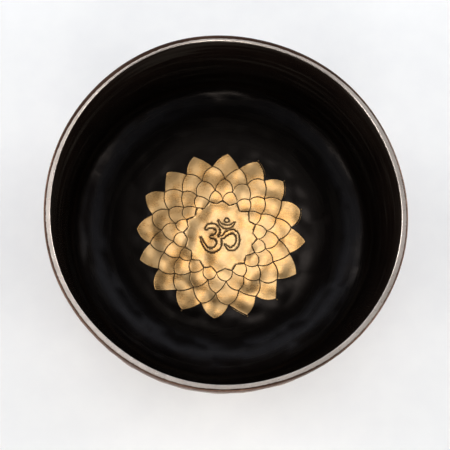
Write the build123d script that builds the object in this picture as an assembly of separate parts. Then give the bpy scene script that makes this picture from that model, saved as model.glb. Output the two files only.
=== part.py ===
"""A hammered bronze singing bowl, black inside, with a gilded lotus and an Om on its floor.

Millimetres, +Z up.  The origin is on the table, in the middle of the flat that the bowl stands on.
The metal is one forged piece.  What lies on it is thin: a black coat inside, a brown coat outside
and gilding on the black floor, with the black left showing as lines between the gilded fields.
Each of those layers is a node of its own, and so is each ring of petals.
"""

import os
from math import atan2, cos, degrees, hypot, radians, sin

from build123d import *

# The metal: a dished floor that steepens through a shoulder and a knuckle into the wall, with its
# underside flattened where it stands.
MOUTH_RADIUS = 100.0  # outside, at the rim
HEIGHT = 92.0
FLOOR_THICKNESS = 1.9  # in the middle, where the underside is flattened
WALL_THICKNESS = 3.0
RIM_THICKNESS = 3.6
DISH = (280.0, 12.0)  # radius inside, and degrees that the profile turns along it
SHOULDER = (65.0, 30.0)
KNUCKLE = (20.0, 40.0)
RIM_OUTER_ROUND = 1.3
RIM_INNER_ROUND = 0.4

# The coats
BLACK_COAT = 0.2
BLACK_COAT_STOP = 0.7  # below the rim, where the rim is ground bare
BROWN_COAT = 0.2
BROWN_COAT_STOP = 1.5
WORN_RADIUS = 42.0  # the brown coat is worn off the underside within this
GILDING = 0.3

# The lotus: rings of petals like fish scales.  Radii of the star's inner corners, the star's
# points, and then each ring's tips.  A ring's valleys are at the tips of the ring inside it.
PETALS = 16
LOTUS_RADII = (20.9, 24.0, 29.8, 37.5, 45.4, 54.0)
SIDE_BULGE = (0.0, 0.15, 0.13, 0.10, 0.11)  # share of each side's chord, from the star outwards
LOTUS_TURN = -4.9  # degrees
LINE_WIDTH = 0.45  # of the black lines between the gilded fields
RING_NAMES = ("inner", "second", "third", "outer")

# The Om, from its strokes' centrelines: x, y and half width at each point.
UPPER_LOBE = (
    (-8.8, 5.3, 1.0),
    (-6.8, 6.8, 1.4),
    (-4.2, 6.6, 1.5),
    (-1.9, 4.9, 1.4),
    (-1.5, 2.4, 1.3),
    (-3.0, 0.4, 1.1),
    (-5.9, -0.3, 0.9),
)
LOWER_LOBE = (
    (-5.9, -0.3, 0.9),
    (-2.6, -1.0, 1.2),
    (-0.7, -3.6, 1.6),
    (-1.5, -7.0, 1.7),
    (-4.6, -9.2, 1.5),
    (-8.2, -8.3, 1.1),
    (-11.2, -4.7, 0.7),
    (-12.7, -0.8, 0.25),
)
TAIL = (
    (-1.9, -1.0, 0.9),
    (1.4, -0.6, 1.0),
    (4.3, 1.9, 1.3),
    (7.8, 3.1, 1.3),
    (10.9, 0.6, 1.1),
    (11.2, -3.8, 1.2),
    (9.0, -7.4, 1.4),
    (5.8, -8.2, 1.0),
    (2.9, -5.3, 0.25),
)
CRESCENT = (
    (-1.1, 10.5, 0.25),
    (0.4, 7.6, 0.8),
    (3.5, 6.1, 1.3),
    (6.7, 6.5, 1.0),
    (9.2, 8.8, 0.25),
)
DOT_CENTRE = (4.2, 10.3)
DOT_RADIUS = 1.4
STROKE_STATIONS = 14
THINNEST_STROKE = 0.06


def floor_arcs(outwards):
    """The arcs from the axis to the foot of the wall, on a skin outwards of the inside."""
    arcs, start, heading = [], (0, FLOOR_THICKNESS - outwards), (1, 0)
    for radius, turn in (DISH, SHOULDER, KNUCKLE):
        arcs.append(JernArc(start, heading, radius + outwards, turn))
        start, heading = arcs[-1] @ 1, arcs[-1] % 1
    return arcs


def wall_arc(start, heading, end):
    """Radius and turn, in degrees, of the arc that leaves start along heading and reaches end."""
    across, up = end[0] - start.X, end[1] - start.Y
    half_turn = atan2(up, across) - atan2(heading.Y, heading.X)
    return hypot(across, up) / (2 * sin(half_turn)), 2 * degrees(half_turn)


def skin(metal=0.0, mouth=MOUTH_RADIUS - RIM_THICKNESS, coat=0.0):
    """A profile from the axis to the mouth.

    It lies outwards of the inside by the metal's thickness, and then by a coat's, which is
    negative for a coat on the inside.
    """
    bare, coated = floor_arcs(metal), floor_arcs(metal + coat)
    radius, turn = wall_arc(bare[-1] @ 1, bare[-1] % 1, (mouth, HEIGHT))
    wall = JernArc(coated[-1] @ 1, coated[-1] % 1, radius + coat, turn)
    return [*coated, wall]


def inside(coat=0.0):
    return skin(coat=-coat)


def outside(coat=0.0):
    return skin(metal=WALL_THICKNESS, mouth=MOUTH_RADIUS, coat=coat)


def turned(lower, upper):
    """The shell between two profiles that both start on the axis."""
    ends = [Line(lower[0] @ 0, upper[0] @ 0), Line(lower[-1] @ 1, upper[-1] @ 1)]
    outline = make_face(Curve() + lower + upper + ends)
    return revolve(Plane.XZ * outline, Axis.Z)


def slab(bottom, top):
    """Everything between two heights."""
    width = 3 * MOUTH_RADIUS
    return Pos(0, 0, (bottom + top) / 2) * Box(width, width, top - bottom)


def top_circles(solid):
    """The edges round the rim, the smallest first."""
    return solid.edges().filter_by(GeomType.CIRCLE).group_by(Axis.Z)[-1].sort_by(SortBy.RADIUS)


def bronze_bowl():
    metal = turned(outside(), inside()) & slab(0, 2 * HEIGHT)
    metal = fillet(top_circles(metal)[-1], RIM_OUTER_ROUND)
    return fillet(top_circles(metal)[0], RIM_INNER_ROUND)


def black_inner_coat():
    coat = turned(inside(), inside(BLACK_COAT))
    return coat & slab(0, HEIGHT - BLACK_COAT_STOP)


def brown_outer_coat():
    coat = turned(outside(BROWN_COAT), outside())
    return (coat & slab(0, HEIGHT - BROWN_COAT_STOP)) - Cylinder(WORN_RADIUS, HEIGHT)


def at(radius, half_steps):
    """A point of the lotus; half_steps counts half the angle between neighbouring petals."""
    angle = radians(LOTUS_TURN + half_steps * 180 / PETALS)
    return Vector(radius * cos(angle), radius * sin(angle))


def side(tip, valley, bulge):
    """One side of a petal, bowed outwards by a share of its own length."""
    if bulge == 0:
        return Line(tip, valley)
    along = valley - tip
    across = Vector(-along.Y, along.X)
    middle = (tip + valley) / 2
    outwards = across if across.dot(middle) > 0 else -across
    return ThreePointArc(tip, middle + outwards * bulge, valley)


def petal_outline(ring):
    """One petal's field: its own two sides, and the two sides of its inner neighbours."""
    heel, valley, tip = LOTUS_RADII[ring - 1 : ring + 2]
    own, inner = SIDE_BULGE[ring], SIDE_BULGE[ring - 1]
    phase = (ring + len(RING_NAMES)) % 2  # neighbouring rings stand half a petal apart
    edges = []
    for way in (-1, 1):
        shoulder = at(valley, phase + way)
        edges.append(side(at(tip, phase), shoulder, own))
        edges.append(side(shoulder, at(heel, phase), inner))
    return offset(make_face(Curve() + edges), -LINE_WIDTH / 2, kind=Kind.INTERSECTION)


def star_outline():
    """The field in the middle, with a point between every two inner petals."""
    corners = []
    for k in range(PETALS):
        corners.append(at(LOTUS_RADII[1], 2 * k))
        corners.append(at(LOTUS_RADII[0], 2 * k + 1))
    star = make_face(Polyline(*corners, close=True))
    return offset(star, -LINE_WIDTH / 2, kind=Kind.INTERSECTION)


def stroke(points, grow):
    """A stroke of the Om, wider by grow on every side."""
    centre = Spline(*[(x, y) for x, y, _ in points])
    widths = [w for _, _, w in points]
    left, right = [], []
    for k in range(STROKE_STATIONS + 1):
        share = k / STROKE_STATIONS
        place, along = centre @ share, centre % share
        span = share * (len(widths) - 1)
        low = min(int(span), len(widths) - 2)
        half = widths[low] + (widths[low + 1] - widths[low]) * (span - low)
        across = Vector(-along.Y, along.X) * max(half + grow, THINNEST_STROKE)
        if k == 0:
            place -= along * grow
        if k == STROKE_STATIONS:
            place += along * grow
        left.append(place + across)
        right.append(place - across)
    outline = [Spline(*left), Spline(*right), Line(left[0], right[0]), Line(left[-1], right[-1])]
    return make_face(Curve() + outline)


def om_outline(grow):
    """The Om, grown or shrunk by half the width of the black line round it."""
    body = stroke(UPPER_LOBE, grow) + stroke(LOWER_LOBE, grow) + stroke(TAIL, grow)
    return body + stroke(CRESCENT, grow) + Pos(*DOT_CENTRE) * Circle(DOT_RADIUS + grow)


def gilded(outline):
    """A field of gilding, as a thin plate that follows the black floor."""
    leaf = turned(inside(BLACK_COAT)[:1], inside(BLACK_COAT + GILDING)[:1])
    return (extrude(outline, amount=HEIGHT / 2) & leaf).solids()


def all_round(solid):
    return [Rot(0, 0, k * 360 / PETALS) * solid for k in range(PETALS)]


def main():
    nodes = {
        "bronze_bowl": bronze_bowl().solids(),
        "black_inner_coat": black_inner_coat().solids(),
        "brown_outer_coat": brown_outer_coat().solids(),
        "gilt_centre_star": gilded(star_outline() - om_outline(LINE_WIDTH / 2)),
        "gilt_om_sign": gilded(om_outline(-LINE_WIDTH / 2)),
    }
    for ring, name in enumerate(RING_NAMES, start=1):
        nodes[f"gilt_{name}_petals"] = all_round(gilded(petal_outline(ring))[0])
    os.makedirs("parts", exist_ok=True)
    for name, solids in nodes.items():
        export_step(Compound(children=list(solids)), f"parts/{name}.step")
        print(name, len(solids), round(sum(s.volume for s in solids), 1))


main()
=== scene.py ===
"""The looks of the hammered singing bowl: its dents, its lacquer, its gilding and its bare rim.

Lengths are in millimetres until a mesh is made, which is in metres.  The profile, the lotus's
corners and the Om's strokes are laid out as in the CAD.  The lines between the gilded fields are
narrower here and the gilding thinner, the rim's inner edge is a little rounder, and the sides of
the petals bulge a little differently.  The bowl's height and the tops of its coats come from the
frame.
"""

from math import atan2, cos, hypot, pi, radians, sin

import bpy
import numpy as np
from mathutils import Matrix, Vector
from mathutils.geometry import delaunay_2d_cdt
from mathutils.kdtree import KDTree


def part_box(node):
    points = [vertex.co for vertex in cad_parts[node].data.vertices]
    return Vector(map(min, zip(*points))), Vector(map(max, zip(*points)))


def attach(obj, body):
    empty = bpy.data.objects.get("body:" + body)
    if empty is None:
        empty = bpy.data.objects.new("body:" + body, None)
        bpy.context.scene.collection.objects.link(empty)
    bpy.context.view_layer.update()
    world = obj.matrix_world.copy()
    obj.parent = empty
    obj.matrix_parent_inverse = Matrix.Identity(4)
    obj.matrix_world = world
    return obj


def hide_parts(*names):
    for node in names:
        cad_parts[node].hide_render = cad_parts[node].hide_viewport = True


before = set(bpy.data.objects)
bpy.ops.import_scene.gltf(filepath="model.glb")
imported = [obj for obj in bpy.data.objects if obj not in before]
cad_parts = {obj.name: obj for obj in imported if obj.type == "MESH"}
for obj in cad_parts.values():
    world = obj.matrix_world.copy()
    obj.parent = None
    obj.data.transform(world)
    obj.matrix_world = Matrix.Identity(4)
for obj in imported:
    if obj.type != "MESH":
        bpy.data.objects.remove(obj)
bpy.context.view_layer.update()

MM = 0.001
rng = np.random.default_rng(7)

# ---------------------------------------------------------------- the bowl's dimensions

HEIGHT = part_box("bronze_bowl")[1].z / MM
FLOOR_THICKNESS = 1.9
WALL_THICKNESS = 3.0
RIM_THICKNESS = 3.6
MOUTH_RADIUS = 100.0
DISH = (280.0, 12.0)
SHOULDER = (65.0, 30.0)
KNUCKLE = (20.0, 40.0)
RIM_OUTER_ROUND = 1.3
RIM_INNER_ROUND = 0.5
BLACK_COAT = 0.2
BLACK_COAT_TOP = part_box("black_inner_coat")[1].z / MM
BROWN_COAT = 0.2
BROWN_COAT_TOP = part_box("brown_outer_coat")[1].z / MM
WORN_RADIUS = 42.0
GILDING = 0.14  # thinner than the plates of the CAD, which are 0.3

AROUND = 384  # columns of a turned mesh
STATION = 1.4  # spacing of its rows
COAT_EDGE = 0.06  # thickness of a coat where it ends
COAT_SUNK = 0.05  # how far a coat's back lies in the metal
GILT_SUNK = 0.04  # how far a gilded field's back lies in the black coat
GILT_STEP = 0.05  # height of a gilded field at its very edge
RIM_CLEARANCE = 0.1  # between the rim's rounds and the skins' last rows

# ---------------------------------------------------------------- mesh helpers


def piece(name, points, faces, material, body_slot, *nodes):
    """A mesh from points in millimetres, riding the bowl and standing for these CAD nodes."""
    mesh = bpy.data.meshes.new(name)
    mesh.from_pydata((np.asarray(points) * MM).tolist(), [], faces)
    mesh.validate()
    mesh.polygons.foreach_set("use_smooth", [True] * len(mesh.polygons))
    mesh.materials.append(material)
    thing = bpy.data.objects.new(name, mesh)
    bpy.context.scene.collection.objects.link(thing)
    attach(thing, "root")
    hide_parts(*nodes)
    return thing


def attribute(thing, name, values):
    """A number at every vertex, for the material."""
    layer = thing.data.attributes.new(name, "FLOAT", "POINT")
    layer.data.foreach_set("value", np.asarray(values, np.float32))


def turned_faces(rows, around=AROUND):
    """Quads of a surface of revolution whose first and last rows are single points."""
    faces = []
    first = lambda row: 1 + (row - 1) * around
    for k in range(around):
        n = (k + 1) % around
        faces.append((0, first(1) + k, first(1) + n))
        for row in range(1, rows - 2):
            a, b = first(row), first(row + 1)
            faces.append((a + k, b + k, b + n, a + n))
        faces.append((first(rows - 2) + n, first(rows - 2) + k, first(rows - 1)))
    return faces


def ring_faces(rows, around=AROUND):
    """Quads of a surface of revolution that closes on itself, with no point on the axis."""
    faces = []
    for row in range(rows):
        a, b = row * around, ((row + 1) % rows) * around
        for k in range(around):
            n = (k + 1) % around
            faces.append((a + k, b + k, b + n, a + n))
    return faces


def thick_plate(flat, faces, top, bottom):
    """Points and faces of a closed plate over the plane figure: top, underside and edge."""
    count = len(flat)
    points = np.vstack([np.column_stack([flat, top]), np.column_stack([flat, bottom])])
    solid = [tuple(face) for face in faces]
    solid += [tuple(v + count for v in reversed(face)) for face in faces]
    directed = set()
    for face in faces:
        directed.update(zip(face, (*face[1:], face[0])))
    for a, b in sorted(directed):
        if (b, a) not in directed:
            solid.append((b, a, a + count, b + count))
    return points, solid


# ---------------------------------------------------------------- the profile

THETA = np.arange(AROUND) * 2 * pi / AROUND


def along_arcs(arcs, start):
    """Stations along arcs that follow each other smoothly: r, z and heading at each."""
    r, z, heading = start[0], start[1], 0.0
    stations = [(r, z, heading)]
    for radius, turn in arcs:
        steps = max(2, round(radius * abs(radians(turn)) / STATION))
        pivot_r, pivot_z = r - radius * sin(heading), z + radius * cos(heading)
        for k in range(1, steps + 1):
            angle = heading + radians(turn) * k / steps
            stations.append(
                (pivot_r + radius * sin(angle), pivot_z - radius * cos(angle), angle)
            )
        r, z, heading = stations[-1]
    return stations


def skin(metal, mouth):
    """Stations of the inside, or with metal the outside, from the axis to the mouth."""
    start = (0.0, FLOOR_THICKNESS - metal)
    lower = [(radius + metal, turn) for radius, turn in (DISH, SHOULDER, KNUCKLE)]
    r, z, heading = along_arcs(lower, start)[-1]
    across, up = mouth - r, HEIGHT - z
    half_turn = atan2(up, across) - heading
    wall = (hypot(across, up) / (2 * sin(half_turn)), 2 * half_turn * 180 / pi)
    return np.array(along_arcs([*lower, wall], start))


INSIDE = skin(0.0, MOUTH_RADIUS - RIM_THICKNESS)
OUTSIDE = skin(WALL_THICKNESS, MOUTH_RADIUS)


def facing(stations, side):
    """r, z and the unit normal's r and z; side is 1 for the inside and -1 for the outside."""
    r, z, heading = stations.T
    return np.column_stack([r, z, -side * np.sin(heading), side * np.cos(heading)])


def revolve(section):
    """Points and normals of a section at every column."""
    r, z, nr, nz = (column[:, None] for column in section.T)
    c, s = np.cos(THETA)[None], np.sin(THETA)[None]
    flat = np.ones((1, AROUND))
    points = np.stack([r * c, r * s, z * flat], -1)
    normals = np.stack([nr * c, nr * s, nz * flat], -1)
    return points, normals


# ---------------------------------------------------------------- the hammer's marks


def dents(stations, pitch, jitter):
    """Middles of hammer marks in staggered rows over a skin, as points in space."""
    length = np.concatenate([[0], np.cumsum(np.hypot(*np.diff(stations[:, :2], axis=0).T))])
    rows = max(2, round(length[-1] / pitch))
    middles = []
    for row in range(rows + 1):
        at = length[-1] * row / rows
        r = np.interp(at, length, stations[:, 0])
        count = max(1, round(2 * pi * r / pitch))
        for k in range(count):
            place = np.clip(at + rng.uniform(-jitter, jitter) * pitch, 0, length[-1])
            r = np.interp(place, length, stations[:, 0])
            z = np.interp(place, length, stations[:, 1])
            angle = 2 * pi * (k + 0.5 * (row % 2) + rng.uniform(-jitter, jitter)) / count
            middles.append((r * cos(angle), r * sin(angle), z))
    return np.array(middles)


def hammered(points, middles, sizes, pitch, soft):
    """0 in the middle of each mark and about 1 on the ridges between, at points (n, 3)."""
    tree = KDTree(len(middles))
    for k, middle in enumerate(middles):
        tree.insert(middle, k)
    tree.balance()
    near = [[(k, gap) for _, k, gap in tree.find_n(p, 5)] for p in points.tolist()]
    near = np.array(near)
    square = (near[..., 1] / (pitch / 2)) ** 2 + sizes[near[..., 0].astype(int)]
    low = square.min(1)
    return low - soft * np.log(np.exp((low[:, None] - square) / soft).sum(1))


INNER_PITCH = 16.0
INNER_DEPTH = 0.20
OUTER_PITCH = 9.5
OUTER_DEPTH = 0.24
inner_dents = dents(INSIDE, INNER_PITCH, 0.3)
inner_sizes = rng.uniform(-0.35, 0.35, len(inner_dents))
outer_dents = dents(OUTSIDE, OUTER_PITCH, 0.28)
outer_sizes = rng.uniform(-0.3, 0.3, len(outer_dents))

# The floor's unevenness left between the blows: direction, wavelength and phase of each swell.
UNEVEN_DEPTH = 0.13
UNEVEN_REACH = 64.0  # the swells fade out towards this radius
UNEVEN_FADE = 14.0
UNEVEN_REST = 0.12  # share of them left beyond it
SWELLS = 14
swells = rng.uniform((0, 10.0, 0), (2 * pi, 20.0, 2 * pi), (SWELLS, 3))


def unevenness(flat):
    """Irregular low swells over the floor, nearly gone beyond the lotus."""
    rise = np.zeros(len(flat))
    for turn, length, phase in swells:
        along = flat[:, 0] * cos(turn) + flat[:, 1] * sin(turn)
        rise += np.cos(2 * pi * along / length + phase)
    inwards = UNEVEN_REACH - np.hypot(flat[:, 0], flat[:, 1])
    fade = np.clip(inwards / UNEVEN_FADE, UNEVEN_REST, 1)
    return UNEVEN_DEPTH * fade * rise / np.sqrt(len(swells) / 2)


# The long flats that the shoulder was beaten in: depth, radius of the shoulder and half width.
FLATS = (0.42, 80.0, 7.5)


def shoulder_flats(flat):
    """A row of uneven flats round the shoulder, with soft corners between them."""
    depth, radius, width = FLATS
    angle = np.arctan2(flat[:, 1], flat[:, 0])
    turn = 6.5 * angle + 0.6 * np.sin(2 * angle + 1.0) + 0.5 * np.sin(3 * angle)
    share = np.exp(-(((np.hypot(flat[:, 0], flat[:, 1]) - radius) / width) ** 2))
    return depth * share * (np.abs(np.sin(turn)) - 0.6)


def inner_relief(points):
    """How far the hammered inside stands above the smooth one."""
    flat = points.reshape(-1, 3)
    high = flat[:, 2] / HEIGHT
    depth = INNER_DEPTH * (1 - 0.75 * np.clip(high, 0, 1))
    marks = hammered(flat, inner_dents, inner_sizes, INNER_PITCH, 0.22)
    rise = depth * (marks - 0.5) + unevenness(flat) + shoulder_flats(flat)
    return rise.reshape(points.shape[:-1])


def outer_relief(points):
    """How far the hammered outside stands above the smooth one."""
    flat = points.reshape(-1, 3)
    fade = np.clip((HEIGHT - 3 - flat[:, 2]) / 9, 0.15, 1)
    marks = hammered(flat, outer_dents, outer_sizes, OUTER_PITCH, 0.12)
    return (OUTER_DEPTH * fade * (marks - 0.9)).reshape(points.shape[:-1])


# Departures from a true circle, as made by hand: waves round the bowl, amplitude and phase.
ROUNDNESS = ((2, 0.34, 1.55), (3, 0.28, 0.6), (5, 0.2, 2.2), (7, 0.1, 0.4))
RIM_WAVES = ((2, 0.25, 0.5), (3, 0.15, 2.0), (6, 0.07, 1.1))


def waves(angle, table):
    return sum(size * np.cos(count * angle + phase) for count, size, phase in table)


def by_hand(points):
    """The points with the mouth a little out of round and its rim not quite level."""
    angle = np.arctan2(points[..., 1], points[..., 0])
    share = np.clip(points[..., 2] / HEIGHT, 0, 1) ** 1.5
    radius = np.hypot(points[..., 0], points[..., 1]) + 1e-9
    grow = 1 + share * waves(angle, ROUNDNESS) / radius * np.clip(radius / 60, 0, 1)
    moved = points.copy()
    moved[..., 0] *= grow
    moved[..., 1] *= grow
    moved[..., 2] += share**2 * waves(angle, RIM_WAVES) - share**2 * 0.3
    return moved


# ---------------------------------------------------------------- node materials


class Nodes:
    """A node tree, with short calls for its nodes."""

    def __init__(self, tree):
        self.tree = tree

    def node(self, kind, inputs=(), **properties):
        node = self.tree.nodes.new("ShaderNode" + kind)
        for key, value in properties.items():
            setattr(node, key, value)
        for key, value in dict(inputs).items():
            self.feed(node.inputs[key], value)
        return node

    def feed(self, socket, value):
        if isinstance(value, bpy.types.NodeSocket):
            self.tree.links.new(value, socket)
        else:
            socket.default_value = value

    def math(self, operation, a, b=0.0, clamp=False):
        node = self.node("Math", {0: a, 1: b}, operation=operation, use_clamp=clamp)
        return node.outputs[0]

    def span(self, value, low, high, to_low=0.0, to_high=1.0):
        inputs = {"Value": value, "From Min": low, "From Max": high}
        inputs |= {"To Min": to_low, "To Max": to_high}
        return self.node("MapRange", inputs, interpolation_type="SMOOTHSTEP").outputs[0]

    def mix(self, share, a, b, blend="MIX"):
        node = self.node("Mix", data_type="RGBA", blend_type=blend)
        self.feed(node.inputs["Factor"], share)
        self.feed(node.inputs[6], a)
        self.feed(node.inputs[7], b)
        return node.outputs[2]


class Look(Nodes):
    """A material on the principled shader."""

    def __init__(self, name, **settings):
        self.material = bpy.data.materials.new(name)
        self.material.use_nodes = True
        super().__init__(self.material.node_tree)
        self.shader = self.tree.nodes["Principled BSDF"]
        for socket, value in settings.items():
            self.shader.inputs[socket.replace("_", " ")].default_value = value

    def place(self):
        return self.node("TexCoord").outputs["Object"]

    def stretched(self, x, y, z):
        """Object coordinates stretched by these factors."""
        scale = {"Vector": self.place(), "Scale": (x, y, z)}
        return self.node("Mapping", scale).outputs[0]

    def polar(self, around, outwards, upwards=0.0):
        """Coordinates that vary this much round the axis, outwards from it, and upwards."""
        split = self.node("SeparateXYZ", {0: self.place()})
        flat = self.node("CombineXYZ", {0: split.outputs[0], 1: split.outputs[1]})
        unit = self.node("VectorMath", {0: flat.outputs[0]}, operation="NORMALIZE")
        turn = self.node("VectorMath", {0: unit.outputs[0]}, operation="SCALE")
        turn.inputs["Scale"].default_value = around
        radius = self.node("VectorMath", {0: flat.outputs[0]}, operation="LENGTH")
        out = self.math("MULTIPLY", radius.outputs["Value"], outwards)
        up = self.math("MULTIPLY", split.outputs[2], upwards)
        rise = self.node("CombineXYZ", {2: self.math("ADD", out, up)})
        both = self.node("VectorMath", {0: turn.outputs[0], 1: rise.outputs[0]}, operation="ADD")
        return both.outputs[0]

    def radius(self):
        split = self.node("SeparateXYZ", {0: self.place()})
        flat = self.node("CombineXYZ", {0: split.outputs[0], 1: split.outputs[1]})
        return self.node("VectorMath", {0: flat.outputs[0]}, operation="LENGTH").outputs["Value"]

    def height(self):
        return self.node("SeparateXYZ", {0: self.place()}).outputs[2]

    def noise(self, scale, detail=3.0, vector=None, rough=0.5):
        inputs = {"Scale": scale, "Detail": detail, "Roughness": rough}
        inputs["Vector"] = self.place() if vector is None else vector
        return self.node("TexNoise", inputs).outputs["Fac"]

    def stored(self, name):
        return self.node("Attribute", attribute_name=name).outputs["Fac"]

    def bump(self, height, distance, strength=1.0, under=None):
        inputs = {"Height": height, "Distance": distance, "Strength": strength}
        if under is not None:
            inputs["Normal"] = under
        return self.node("Bump", inputs).outputs[0]

    def give(self, **sockets):
        for name, value in sockets.items():
            self.feed(self.shader.inputs[name.replace("_", " ")], value)
        return self.material


def rgb(red, green, blue):
    return (red, green, blue, 1.0)


def black_lacquer():
    """Deep warm black, brushed on round the bowl, softly glossy, greyer where it is rubbed."""
    look = Look("black_lacquer", Specular_IOR_Level=0.18, Specular_Tint=rgb(1.0, 0.86, 0.79))
    strokes = look.noise(1.0, 4.0, look.polar(34.0, 60.0, 40.0), 0.6)
    rings = look.noise(1.0, 3.0, look.polar(1.6, 900.0, 700.0), 0.6)
    streaks = look.noise(1.0, 3.0, look.polar(1.3, 120.0, 260.0), 0.55)
    cloud = look.noise(45.0, 3.0)
    dust = look.span(look.noise(2600.0, 2.0), 0.66, 0.78)
    dark, lit = rgb(0.0026, 0.0015, 0.0012), rgb(0.0044, 0.0026, 0.0020)
    tone = look.mix(look.span(cloud, 0.3, 0.7), dark, lit)
    rubbed = look.span(streaks, 0.45, 0.70)
    tone = look.mix(rubbed, tone, rgb(0.0105, 0.0084, 0.0068))
    tone = look.mix(look.math("MULTIPLY", dust, 0.15), tone, rgb(0.03, 0.026, 0.024))
    dull = look.math("MULTIPLY", dust, 0.2)
    rough = look.math("ADD", look.span(strokes, 0.3, 0.7, 0.20, 0.25), dull)
    skin_bump = look.bump(strokes, 0.00002, 0.3)
    skin_bump = look.bump(rings, 0.00003, 0.4, skin_bump)
    return look.give(Base_Color=tone, Roughness=rough, Normal=skin_bump)


def gilding():
    """Gold leaf over hammered metal: paler where rubbed, browner towards the outer petals, with
    worn flecks and painted shade darkening the edges of each field.
    """
    look = Look("gilding", Metallic=1.0, Coat_Weight=0.5, Coat_Roughness=0.28)
    cloud = look.noise(110.0, 4.0, rough=0.6)
    grain = look.noise(900.0, 4.0, rough=0.65)
    brush = look.noise(1.0, 4.0, look.stretched(300.0, 2600.0, 300.0), 0.6)
    # the last colour serves both the worn flecks and the painted shade along the fields' edges
    pale, deep, wear_and_painted_light = rgb(0.91, 0.59, 0.275), rgb(0.68, 0.355, 0.11), rgb(0.32, 0.155, 0.045)
    tone = look.mix(look.span(cloud, 0.32, 0.68), deep, pale)
    tone = look.mix(look.span(look.radius(), 0.034, 0.054, 0.0, 0.45), tone, rgb(0.50, 0.33, 0.14))
    tone = look.mix(look.math("MULTIPLY", look.span(grain, 0.5, 0.75), 0.2), tone, wear_and_painted_light)
    # painted shade: the gold darkens towards each field's edge, beside the lines between the fields
    tone = look.mix(look.span(look.stored("edge"), 0.0, 0.2, 0.45, 0.0), tone, wear_and_painted_light)
    tone = look.mix(look.math("MULTIPLY", look.stored("tone"), 0.35), tone, deep)
    brushed = look.span(brush, 0.35, 0.65, 0, 0.06)
    rough = look.math("ADD", look.span(cloud, 0.3, 0.7, 0.22, 0.32), brushed)
    fine = look.bump(brush, 0.00004, 0.5)
    fine = look.bump(grain, 0.00005, 0.5, fine)
    return look.give(Base_Color=tone, Roughness=rough, Normal=fine)


def bronze_and_patina():
    """Bare ground bronze on the rim, running into brown patina at its outer edge."""
    look = Look("bronze", Metallic=1.0)
    filed = look.noise(1.0, 4.0, look.polar(60.0, 1500.0, 500.0), 0.6)
    spots = look.noise(420.0, 4.0, rough=0.6)
    cloud = look.noise(60.0, 3.0)
    bare = look.mix(look.span(cloud, 0.3, 0.7), rgb(0.42, 0.37, 0.335), rgb(0.53, 0.47, 0.43))
    bare = look.mix(look.span(spots, 0.58, 0.75, 0.0, 0.5), bare, rgb(0.36, 0.24, 0.16))
    brown = look.mix(look.span(cloud, 0.3, 0.7), rgb(0.040, 0.022, 0.015), rgb(0.070, 0.038, 0.026))
    ragged = look.math("ADD", look.stored("bare"), look.span(spots, 0.2, 0.8, -0.22, 0.22))
    share = look.span(ragged, 0.38, 0.62)
    tone = look.mix(share, brown, bare)
    rough = look.math("ADD", look.span(filed, 0.3, 0.7, 0.26, 0.42), look.span(share, 0, 1, 0.1, 0))
    fine = look.bump(filed, 0.00005, 0.6)
    fine = look.bump(spots, 0.0001, 0.35, fine)
    return look.give(Base_Color=tone, Roughness=rough, Normal=fine)


def brown_patina():
    """A dark brown patina on hammered bronze, a little paler on the ridges: rubbed wear there, and
    partly a painted highlight.
    """
    look = Look("brown_patina", Metallic=0.85)
    cloud = look.noise(38.0, 4.0, rough=0.6)
    blotch = look.noise(130.0, 4.0, rough=0.6)
    grain = look.noise(700.0, 5.0, rough=0.65)
    # the ridges are painted paler: rubbed wear, and partly a painted highlight where the hammered
    # ridges would catch the light
    wear_and_painted_light = look.math("ADD", look.stored("ridge"), look.span(blotch, 0.3, 0.7, -0.5, 0.4))
    rubbed = look.span(wear_and_painted_light, 0.35, 1.7, 0.0, 0.5)
    tone = look.mix(look.span(cloud, 0.3, 0.7), rgb(0.060, 0.029, 0.017), rgb(0.105, 0.052, 0.029))
    tone = look.mix(look.span(blotch, 0.4, 0.7, 0.0, 0.5), tone, rgb(0.15, 0.078, 0.044))
    tone = look.mix(rubbed, tone, rgb(0.26, 0.14, 0.078))
    tone = look.mix(look.span(grain, 0.52, 0.72, 0.0, 0.5), tone, rgb(0.040, 0.020, 0.012))
    top = look.span(look.height(), 0.078, 0.0915)
    tone = look.mix(look.math("MULTIPLY", top, 0.85), tone, rgb(0.045, 0.024, 0.016))
    rough = look.span(cloud, 0.3, 0.7, 0.30, 0.42)
    fine = look.bump(grain, 0.00012, 0.5)
    return look.give(Base_Color=tone, Roughness=rough, Normal=fine)


LACQUER = black_lacquer()
GOLD = gilding()
BRONZE = bronze_and_patina()
PATINA = brown_patina()

# ---------------------------------------------------------------- metal and coats


def quarter(pivot_r, pivot_z, radius, start, steps=5):
    """Stations of a quarter turn from the start angle towards smaller ones."""
    angles = start - np.linspace(0, pi / 2, steps + 1)
    return np.column_stack(
        [
            pivot_r + radius * np.cos(angles),
            pivot_z + radius * np.sin(angles),
            np.cos(angles),
            np.sin(angles),
        ]
    )


def rim_section():
    """Over the rim, from the inside to the outside."""
    inner = MOUTH_RADIUS - RIM_THICKNESS
    near = quarter(inner + RIM_INNER_ROUND, HEIGHT - RIM_INNER_ROUND, RIM_INNER_ROUND, pi)
    outer, top = MOUTH_RADIUS - RIM_OUTER_ROUND, HEIGHT - RIM_OUTER_ROUND
    far = quarter(outer, top, RIM_OUTER_ROUND, pi / 2, 8)
    width = np.linspace(near[-1, 0], far[0, 0], 9)[1:-1]
    flat = np.column_stack([width, np.full(7, HEIGHT), np.zeros(7), np.ones(7)])
    return np.vstack([near, flat, far])


def below(section, top):
    return section[section[:, 1] < top]


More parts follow.
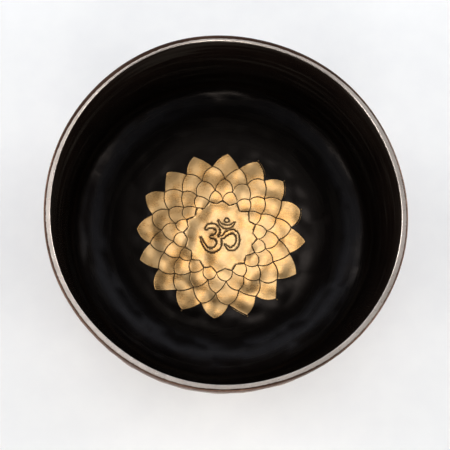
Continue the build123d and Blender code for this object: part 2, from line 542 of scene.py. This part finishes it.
def metal_bowl():
    inner = below(facing(INSIDE, 1), HEIGHT - RIM_INNER_ROUND - RIM_CLEARANCE)
    outer = below(facing(OUTSIDE, -1), HEIGHT - RIM_OUTER_ROUND - RIM_CLEARANCE)[::-1]
    rim = rim_section()
    points, normals = revolve(np.vstack([inner, rim, outer]))
    rows = len(points)
    lift = np.zeros((rows, AROUND))
    lift[: len(inner)] = inner_relief(points[: len(inner)])
    lift[-len(outer) :] = outer_relief(points[-len(outer) :])
    lift[0], lift[-1] = lift[0].mean(), lift[-1].mean()
    shaped = by_hand(points + normals * lift[..., None])
    underside = np.arange(rows)[:, None] >= len(inner) + len(rim)
    flattened = underside & (shaped[..., 2] < 0)
    shaped[..., 2] = np.where(flattened, 0.0, shaped[..., 2])

    across = np.zeros(rows)
    steps = np.hypot(*np.diff(rim[:, :2], axis=0).T)
    from_outside = np.concatenate([np.cumsum(steps[::-1])[::-1], [0]])
    across[len(inner) : len(inner) + len(rim)] = from_outside
    across[: len(inner)] = from_outside[0] + 1
    brown_width = 2.3 + waves(THETA, ((1, 0.65, -1.9), (2, 0.35, 2.6), (5, 0.15, 1.0)))
    bare = np.clip((across[:, None] - brown_width[None]) / 0.8 + 0.5, 0, 1)
    bare[underside[:, 0]] = (np.hypot(*shaped[..., :2][underside[:, 0]].T).T < WORN_RADIUS + 4)

    flat = np.vstack([shaped[0, :1], shaped[1:-1].reshape(-1, 3), shaped[-1, :1]])
    values = np.concatenate([bare[0, :1], bare[1:-1].ravel(), bare[-1, :1]])
    bowl = piece("hammered_bronze_bowl", flat, turned_faces(rows), BRONZE, "bronze", "bronze_bowl")
    attribute(bowl, "bare", values)


def black_coat():
    section = below(facing(INSIDE, 1), BLACK_COAT_TOP)
    points, normals = revolve(section)
    relief = inner_relief(points)
    relief[0] = relief[0].mean()
    thickness = np.full(len(section), BLACK_COAT)
    thickness[-1] = COAT_EDGE
    face = by_hand(points + normals * (relief + thickness[:, None])[..., None])
    back = by_hand(points + normals * (relief - COAT_SUNK)[..., None])
    ragged = waves(THETA, ((9, 0.06, 0.3), (17, 0.05, 1.9), (31, 0.04, 0.7)))
    face[-1, :, 2] += ragged
    back[-1, :, 2] += ragged
    rows = np.concatenate([face, back[::-1]])
    flat = np.vstack([rows[0, :1], rows[1:-1].reshape(-1, 3), rows[-1, :1]])
    piece(
        "black_lacquer_coat", flat, turned_faces(len(rows)), LACQUER, "black_lacquer",
        "black_inner_coat",
    )


def brown_coat():
    section = facing(OUTSIDE, -1)
    section = section[(section[:, 1] < BROWN_COAT_TOP) & (section[:, 0] > WORN_RADIUS)]
    points, normals = revolve(section)
    relief = outer_relief(points)
    ridge = relief / OUTER_DEPTH + 0.9
    thickness = np.full(len(section), BROWN_COAT)
    thickness[0] = thickness[-1] = COAT_EDGE
    face = by_hand(points + normals * (relief + thickness[:, None])[..., None])
    back = by_hand(points + normals * (relief - COAT_SUNK)[..., None])
    rows = np.concatenate([face, back[::-1]])
    coat = piece(
        "brown_patina_coat", rows.reshape(-1, 3), ring_faces(len(rows)), PATINA, "brown_coat",
        "brown_outer_coat",
    )
    attribute(coat, "ridge", np.concatenate([ridge, ridge[::-1]]).ravel())


metal_bowl()
black_coat()
brown_coat()

# ---------------------------------------------------------------- the lotus

PETALS = 16
LOTUS_RADII = (20.9, 24.0, 29.8, 37.5, 45.4, 54.0)
SIDE_BULGE = (0.0, 0.17, 0.15, 0.12, 0.085)
LOTUS_TURN = radians(-4.9)
LINE_WIDTH = 0.24
RING_NAMES = ("inner", "second", "third", "outer")
EDGE_ROUND = 0.1  # width over which a gilded field's edge falls off
EDGE_LOOP = EDGE_ROUND * 0.8  # how far inside its edge a field has a second loop of points
HAND_ERROR = 0.28  # how far the engraver's corners stray

# Every corner of the pattern, with its own small error: one for each ring and half step.
strays = rng.normal(0, HAND_ERROR, (len(LOTUS_RADII), 2 * PETALS, 2))
side_strays = rng.normal(0, 0.04, (len(LOTUS_RADII), 2 * PETALS, 2))


def corner(level, half_step):
    angle = LOTUS_TURN + half_step * pi / PETALS
    place = np.array([cos(angle), sin(angle)]) * LOTUS_RADII[level]
    return place + strays[level, half_step % (2 * PETALS)]


def petal_side(level, half_step, way, share):
    """Points along the side from a tip at this level to the valley one half step away."""
    tip, valley = corner(level, half_step), corner(level - 1, half_step + way)
    along = valley - tip
    across = np.array([-along[1], along[0]])
    middle = (tip + valley) / 2
    if across @ middle < 0:
        across = -across
    bulge = SIDE_BULGE[level - 1]
    if bulge:
        bulge += side_strays[level, half_step % (2 * PETALS), (way + 1) // 2]
    share = share[:, None]
    return tip + along * share + across * 4 * bulge * share * (1 - share)


def floor_surface(flat):
    """Height of the black floor's surface at points (n, 2)."""
    r = np.hypot(*flat.T)
    z = FLOOR_THICKNESS + DISH[0] - np.sqrt(DISH[0] ** 2 - r**2)
    relief = inner_relief(np.column_stack([flat, z]))
    return z + relief + BLACK_COAT


def gilt_top(flat, edge):
    """Height of the gilding's surface: full inside, and falling off in a round at its edges."""
    floor = floor_surface(flat)
    rounded = np.sqrt(1 - (1 - np.clip(edge / EDGE_ROUND, 0, 1)) ** 2)
    return floor + GILT_STEP + (GILDING - GILT_STEP) * rounded


def petal_grid(ring, half_step, steps=16):
    """Points and distances from the edge of one petal's field, as a square grid."""
    level = ring + 1
    even = np.linspace(0, 1, steps + 1)
    eased = (1 - np.cos(pi * even)) / 2
    right = petal_side(level, half_step, 1, even)
    left = petal_side(level, half_step, -1, even)
    lower_right = petal_side(level - 1, half_step + 1, -1, even)
    lower_left = petal_side(level - 1, half_step - 1, 1, even)
    length = lambda line: np.hypot(*np.diff(line, axis=0).T).sum()
    long_u = (length(right) + length(lower_left)) / 2
    long_v = (length(left) + length(lower_right)) / 2
    gap = LINE_WIDTH / 2
    u = gap / long_u + eased * (1 - 2 * gap / long_u)
    v = gap / long_v + eased * (1 - 2 * gap / long_v)
    pick = lambda line, at: np.column_stack([np.interp(at, even, line[:, k]) for k in (0, 1)])
    top, bottom = pick(right, u)[:, None], pick(lower_left, u)[:, None]
    near, far = pick(left, v)[None], pick(lower_right, v)[None]
    uu, vv = u[:, None, None], v[None, :, None]
    corners = (
        (1 - uu) * (1 - vv) * right[0]
        + uu * (1 - vv) * right[-1]
        + (1 - uu) * vv * left[-1]
        + uu * vv * lower_right[-1]
    )
    flat = (1 - vv) * top + vv * bottom + (1 - uu) * near + uu * far - corners
    from_u = np.minimum(eased, 1 - eased) * (long_u - 2 * gap)
    from_v = np.minimum(eased, 1 - eased) * (long_v - 2 * gap)
    edge = np.minimum(from_u[:, None], from_v[None])
    return flat.reshape(-1, 2), edge.ravel()


def grid_faces(steps=16):
    faces = []
    for i in range(steps):
        for j in range(steps):
            a = i * (steps + 1) + j
            faces.append((a, a + steps + 1, a + steps + 2, a + 1))
    return faces


def counter_clockwise(flat, faces):
    a, b, c = (flat[faces[0][k]] for k in range(3))
    turn = (b[0] - a[0]) * (c[1] - a[1]) - (b[1] - a[1]) * (c[0] - a[0])
    return faces if turn > 0 else [tuple(reversed(face)) for face in faces]


def gilt_piece(name, node, fields):
    """One object from fields of gilding, each a flat figure, its faces, edges and tone."""
    points, faces, edges, tones = [], [], [], []
    start = 0
    for flat, field_faces, edge, tone in fields:
        top = gilt_top(flat, edge)
        bottom = floor_surface(flat) - GILT_SUNK
        solid, solid_faces = thick_plate(flat, counter_clockwise(flat, field_faces), top, bottom)
        points.append(solid)
        faces += [tuple(v + start for v in face) for face in solid_faces]
        edges += [edge, np.zeros(len(edge))]
        tones.append(np.full(2 * len(edge), tone))
        start += len(solid)
    thing = piece(name, by_hand(np.vstack(points)), faces, GOLD, "gilding", node)
    attribute(thing, "edge", np.concatenate(edges))
    attribute(thing, "tone", np.concatenate(tones))


for ring, ring_name in enumerate(RING_NAMES, start=1):
    fields = []
    for k in range(PETALS):
        half_step = 2 * k + (ring + len(RING_NAMES)) % 2
        flat, edge = petal_grid(ring, half_step)
        fields.append((flat, grid_faces(), edge, rng.uniform(0, 1)))
    gilt_piece(f"{ring_name}_petals_gilding", f"gilt_{ring_name}_petals", fields)

DOTTED_TIPS = (1, 2, 3, 11, 13, 14)  # outer petals with a punched dot beyond the tip
TWICE_DRAWN = (1, 2, 3, 13)  # and those with one side drawn a second time


def tip_dot(k):
    tip = corner(len(LOTUS_RADII) - 1, 2 * k)
    middle = tip + 0.7 * tip / np.hypot(*tip)
    angles = np.arange(12) * pi / 6
    around = middle + 0.58 * np.column_stack([np.cos(angles), np.sin(angles)])
    faces = [(0, 1 + j, 1 + (j + 1) % 12) for j in range(12)]
    return np.vstack([middle, around]), faces, np.full(13, 0.2), 0.0


def second_outline(k):
    line = petal_side(len(LOTUS_RADII) - 1, 2 * k, -1, np.linspace(0.04, 0.8, 12))
    along = np.gradient(line, axis=0)
    out = np.column_stack([along[:, 1], -along[:, 0]]) / np.hypot(*along.T)[:, None]
    out *= np.sign((out * line).sum())
    faces = [(j, j + 1, j + 13, j + 12) for j in range(11)]
    return np.vstack([line + 0.5 * out, line + 0.78 * out]), faces, np.full(24, 0.2), 0.0


marks = [tip_dot(k) for k in DOTTED_TIPS] + [second_outline(k) for k in TWICE_DRAWN]
gilt_piece("tip_marks_gilding", "gilt_outer_petals", marks)

# ---------------------------------------------------------------- the middle field and the Om

UPPER_LOBE = (
    (-8.8, 5.3, 1.0), (-6.8, 6.8, 1.4), (-4.2, 6.6, 1.5), (-1.9, 4.9, 1.4),
    (-1.5, 2.4, 1.3), (-3.0, 0.4, 1.1), (-5.9, -0.3, 0.9),
)
LOWER_LOBE = (
    (-5.9, -0.3, 0.9), (-2.6, -1.0, 1.2), (-0.7, -3.6, 1.6), (-1.5, -7.0, 1.7),
    (-4.6, -9.2, 1.5), (-8.2, -8.3, 1.1), (-11.2, -4.7, 0.7), (-12.7, -0.8, 0.25),
)
TAIL = (
    (-1.9, -1.0, 0.9), (1.4, -0.6, 1.0), (4.3, 1.9, 1.3), (7.8, 3.1, 1.3), (10.9, 0.6, 1.1),
    (11.2, -3.8, 1.2), (9.0, -7.4, 1.4), (5.8, -8.2, 1.0), (2.9, -5.3, 0.25),
)
CRESCENT = (
    (-1.1, 10.5, 0.25), (0.4, 7.6, 0.8), (3.5, 6.1, 1.3), (6.7, 6.5, 1.0), (9.2, 8.8, 0.25),
)
DOT = ((4.2, 10.3, 1.4),)
OM_LINE = 0.12
SPLINE_STEPS = 24


def smooth_stroke(points):
    """A stroke's centreline and half widths, drawn smoothly through its points."""
    p = np.array(points)
    if len(p) == 1:
        return p
    p = np.vstack([2 * p[0] - p[1], p, 2 * p[-1] - p[-2]])
    t = np.linspace(0, 1, SPLINE_STEPS, endpoint=False)[:, None]
    runs = []
    for a, b, c, d in zip(p, p[1:], p[2:], p[3:]):
        runs.append(
            0.5 * (2 * b + (c - a) * t + (2 * a - 5 * b + 4 * c - d) * t**2
                   + (3 * b - a - 3 * c + d) * t**3)
        )
    return np.vstack([*runs, p[-2:-1]])


OM_BODY = np.vstack([smooth_stroke(s) for s in (UPPER_LOBE, LOWER_LOBE, TAIL, CRESCENT, DOT)])


def from_om(flat):
    """Signed distance from the edge of the Om's strokes, negative inside them."""
    out = np.empty(len(flat))
    for start in range(0, len(flat), 8000):
        part = flat[start : start + 8000]
        reach = np.hypot(*(part[:, None] - OM_BODY[None, :, :2]).transpose(2, 0, 1))
        out[start : start + 8000] = (reach - OM_BODY[:, 2]).min(1)
    return out


def contours(level, spacing=0.14, reach=16.0):
    """Closed lines where the distance from the Om's strokes is this level."""
    ticks = np.arange(-reach, reach + spacing, spacing)
    x, y = np.meshgrid(ticks, ticks, indexing="ij")
    field = from_om(np.column_stack([x.ravel(), y.ravel()])).reshape(x.shape) - level
    inside = field < 0
    links = {}

    def crossing(i, j, di, dj):
        a, b = field[i, j], field[i + di, j + dj]
        share = a / (a - b)
        return (ticks[i] + share * di * spacing, ticks[j] + share * dj * spacing)

    spots = {}
    for i, j in zip(*np.nonzero(inside[:-1, :-1] ^ inside[1:, :-1])):
        spots[(i, j, 0)] = crossing(i, j, 1, 0)
    for i, j in zip(*np.nonzero(inside[:-1, :-1] ^ inside[:-1, 1:])):
        spots[(i, j, 1)] = crossing(i, j, 0, 1)
    cells = {
        cell
        for i, j, way in spots
        for cell in ((i, j), (i, j - 1) if way == 0 else (i - 1, j))
    }
    for i, j in cells:
        sides = [(i, j, 0), (i + 1, j, 1), (i, j + 1, 0), (i, j, 1)]
        cut = [s for s in sides if s in spots]
        if len(cut) == 4 and not inside[i, j]:
            cut = cut[1:] + cut[:1]
        for a, b in zip(cut[::2], cut[1::2]):
            links.setdefault(a, []).append(b)
            links.setdefault(b, []).append(a)
    loops, used = [], set()
    for first in sorted(links):
        if first in used:
            continue
        loop, here, before = [], first, None
        while here not in used:
            used.add(here)
            loop.append(spots[here])
            ahead = [n for n in links[here] if n != before and n not in used]
            before = here
            if not ahead:
                break
            here = ahead[0]
        if len(loop) > 12:
            loops.append(np.array(loop))
    return loops


def resampled(loop, spacing):
    closed = np.vstack([loop, loop[:1]])
    length = np.concatenate([[0], np.cumsum(np.hypot(*np.diff(closed, axis=0).T))])
    at = np.linspace(0, length[-1], max(8, round(length[-1] / spacing)), endpoint=False)
    return np.column_stack([np.interp(at, length, closed[:, k]) for k in (0, 1)])


def star_loop(inset):
    """The zigzag edge of the middle field, moved inwards."""
    share = np.linspace(0, 1, 5)[:-1]
    loop = []
    for k in range(PETALS):
        loop.append(petal_side(1, 2 * k, 1, share))
        loop.append(petal_side(1, 2 * k + 2, -1, 1 - share))
    loop = np.vstack(loop)
    ahead, behind = np.roll(loop, -1, 0), np.roll(loop, 1, 0)
    along = ahead - behind
    normal = np.column_stack([-along[:, 1], along[:, 0]])
    normal /= np.hypot(*normal.T)[:, None]
    before, after = loop - behind, ahead - loop
    sharp = np.clip(1 - (before * after).sum(1) / (np.hypot(*before.T) * np.hypot(*after.T)), 0, 1)
    return loop + normal * (inset * (1 + 0.9 * sharp))[:, None]


def inside_loop(flat, loop):
    """Whether each point is inside a closed line, by counting crossings."""
    x, y = flat[:, :1], flat[:, 1:]
    ax, ay = loop.T
    bx, by = np.roll(loop, -1, 0).T
    spans = (ay > y) != (by > y)
    with np.errstate(divide="ignore", invalid="ignore"):
        at = ax + (y - ay) / (by - ay) * (bx - ax)
    return (spans & (x < at)).sum(1) % 2 == 1


def distance_to(flat, loops):
    nearest = np.full(len(flat), np.inf)
    for loop in loops:
        ahead = np.roll(loop, -1, 0)
        run = ahead - loop
        rel = flat[:, None] - loop[None]
        share = np.clip((rel * run).sum(-1) / (run * run).sum(-1), 0, 1)
        gap = rel - share[..., None] * run
        nearest = np.minimum(nearest, np.hypot(gap[..., 0], gap[..., 1]).min(1))
    return nearest


def filled(loops, borders, keep):
    """Triangles over the figure that keep(middle) accepts, with points spread inside it."""
    spacing = 1.1
    ticks = np.arange(-26, 26, spacing)
    x, y = np.meshgrid(ticks, ticks * 0.87, indexing="ij")
    x = x + (np.arange(len(ticks)) % 2)[None] * spacing / 2
    spread = np.column_stack([x.ravel(), y.ravel()])
    spread = spread[keep(spread)]
    spread = spread[distance_to(spread, loops) > 0.45]
    points, edges = [], []
    for loop in loops:
        start = len(points)
        points += [Vector(p) for p in loop]
        edges += [(start + k, start + (k + 1) % len(loop)) for k in range(len(loop))]
    points += [Vector(p) for p in spread]
    verts, _, tris, *_ = delaunay_2d_cdt(points, edges, [], 0, 1e-5)
    flat = np.array([tuple(v) for v in verts])
    middles = np.array([flat[list(t)].mean(0) for t in tris])
    tris = [t for t, good in zip(tris, keep(middles)) if good]
    used = sorted({v for t in tris for v in t})
    renumber = {v: k for k, v in enumerate(used)}
    flat = flat[used]
    return flat, [tuple(renumber[v] for v in t) for t in tris], distance_to(flat, borders)


def middle_field():
    gap = OM_LINE / 2
    outline = star_loop(LINE_WIDTH / 2)
    shoulder = star_loop(LINE_WIDTH / 2 + EDGE_LOOP)
    around_om = [resampled(loop, 0.32) for loop in contours(gap)]
    om_shoulder = [resampled(loop, 0.4) for loop in contours(gap + EDGE_LOOP)]
    keep = lambda p: inside_loop(p, outline) & (from_om(p) > gap - 0.01)
    flat, tris, edge = filled(
        [outline, shoulder, *around_om, *om_shoulder], [outline, *around_om], keep
    )
    gilt_piece("middle_field_gilding", "gilt_centre_star", [(flat, tris, edge, 0.0)])


def om_sign():
    gap = OM_LINE / 2
    edge_line = [resampled(loop, 0.32) for loop in contours(-gap)]
    shoulder = [resampled(loop, 0.4) for loop in contours(-gap - EDGE_LOOP)]
    keep = lambda p: from_om(p) < -gap + 0.01
    flat, tris, edge = filled([*edge_line, *shoulder], edge_line, keep)
    gilt_piece("om_sign_gilding", "gilt_om_sign", [(flat, tris, edge, 0.0)])


middle_field()
om_sign()

# ---------------------------------------------------------------- floor, light and camera


def studio_floor():
    look = Look("pale_floor", Roughness=0.7, Specular_IOR_Level=0.3)
    grain = look.noise(60.0, 3.0)
    tone = look.mix(look.span(grain, 0.3, 0.7), rgb(0.86, 0.86, 0.865), rgb(0.88, 0.88, 0.88))
    look.give(Base_Color=tone)
    half = 3.0
    mesh = bpy.data.meshes.new("floor")
    corners = [(-half, -half, 0), (half, -half, 0), (half, half, 0), (-half, half, 0)]
    mesh.from_pydata(corners, [], [(0, 1, 2, 3)])
    mesh.materials.append(look.material)
    floor = bpy.data.objects.new("floor", mesh)
    bpy.context.scene.collection.objects.link(floor)


class Sky(Nodes):
    """Plain soft studio light from all round, as smooth bands and soft boxes on the sky."""

    def __init__(self, name):
        self.world = bpy.data.worlds.new(name)
        self.world.use_nodes = True
        super().__init__(self.world.node_tree)
        self.towards = self.node("TexCoord").outputs["Generated"]
        self.light = (0.0, 0.0, 0.0)

    def band(self, start, full, colour, strength, turned=None):
        """Light that fades in between two angles from the zenith, all round or on one side."""
        up = self.node("SeparateXYZ", {0: self.towards}).outputs[2]
        share = self.span(up, cos(radians(start)), cos(radians(full)), 0.0, strength)
        if turned is not None:
            share = self.math("MULTIPLY", share, self.facing(turned, 90, 110, 40))
        self.add(share, colour)

    def box(self, azimuth, zenith, core, edge, colour, strength):
        """A round soft box, full out to its core angle and gone at its edge angle."""
        share = self.math("MULTIPLY", self.facing(azimuth, zenith, edge, core), strength)
        self.add(share, colour)

    def facing(self, azimuth, zenith, edge, core):
        across = sin(radians(zenith))
        way = (across * cos(radians(azimuth)), across * sin(radians(azimuth)), cos(radians(zenith)))
        dot = self.node("VectorMath", {0: self.towards, 1: way}, operation="DOT_PRODUCT")
        return self.span(dot.outputs["Value"], cos(radians(edge)), cos(radians(core)))

    def add(self, share, colour):
        lit = self.node("VectorMath", {0: colour[:3]}, operation="SCALE")
        self.feed(lit.inputs["Scale"], share)
        both = self.node("VectorMath", {1: lit.outputs[0]}, operation="ADD")
        self.feed(both.inputs[0], self.light)
        self.light = both.outputs[0]

    def use(self):
        self.feed(self.tree.nodes["Background"].inputs["Color"], self.light)
        bpy.context.scene.world = self.world


def studio():
    white, cool = rgb(1.0, 1.0, 1.0), rgb(0.84, 0.98, 1.22)
    warm = rgb(1.0, 0.975, 0.92)
    sky = Sky("studio")
    sky.band(36, 20, white, 0.34)  # ceiling
    sky.band(180, 0, white, 0.06)  # fill
    sky.band(53, 58, cool, 0.85, 90)  # the far wall's low edge
    for side in (10, 170):
        sky.band(49, 55, cool, 0.40, side)  # the side walls
    sky.band(66, 74, warm, 1.5)  # bright low surround
    for side in (-22, 22, 158, 202):
        sky.box(side, 82, 8, 17, warm, 15.0)  # low windows left and right
    sky.box(270, 82, 8, 17, warm, 18.0)  # and behind the camera
    sky.box(106, 13, 3, 15.5, white, 2.5)  # the overhead soft box
    sky.use()


def camera():
    data = bpy.data.cameras.new("camera")
    data.lens = 72
    data.sensor_width = 36
    thing = bpy.data.objects.new("camera", data)
    thing.location = (-0.0242, -0.106, 0.5728)
    thing.rotation_mode = "YXZ"
    thing.rotation_euler = (radians(11.23), radians(-2.68), 0)
    bpy.context.scene.collection.objects.link(thing)
    bpy.context.scene.camera = thing


studio_floor()
studio()
camera()
bpy.context.scene.view_settings.view_transform = "Standard"
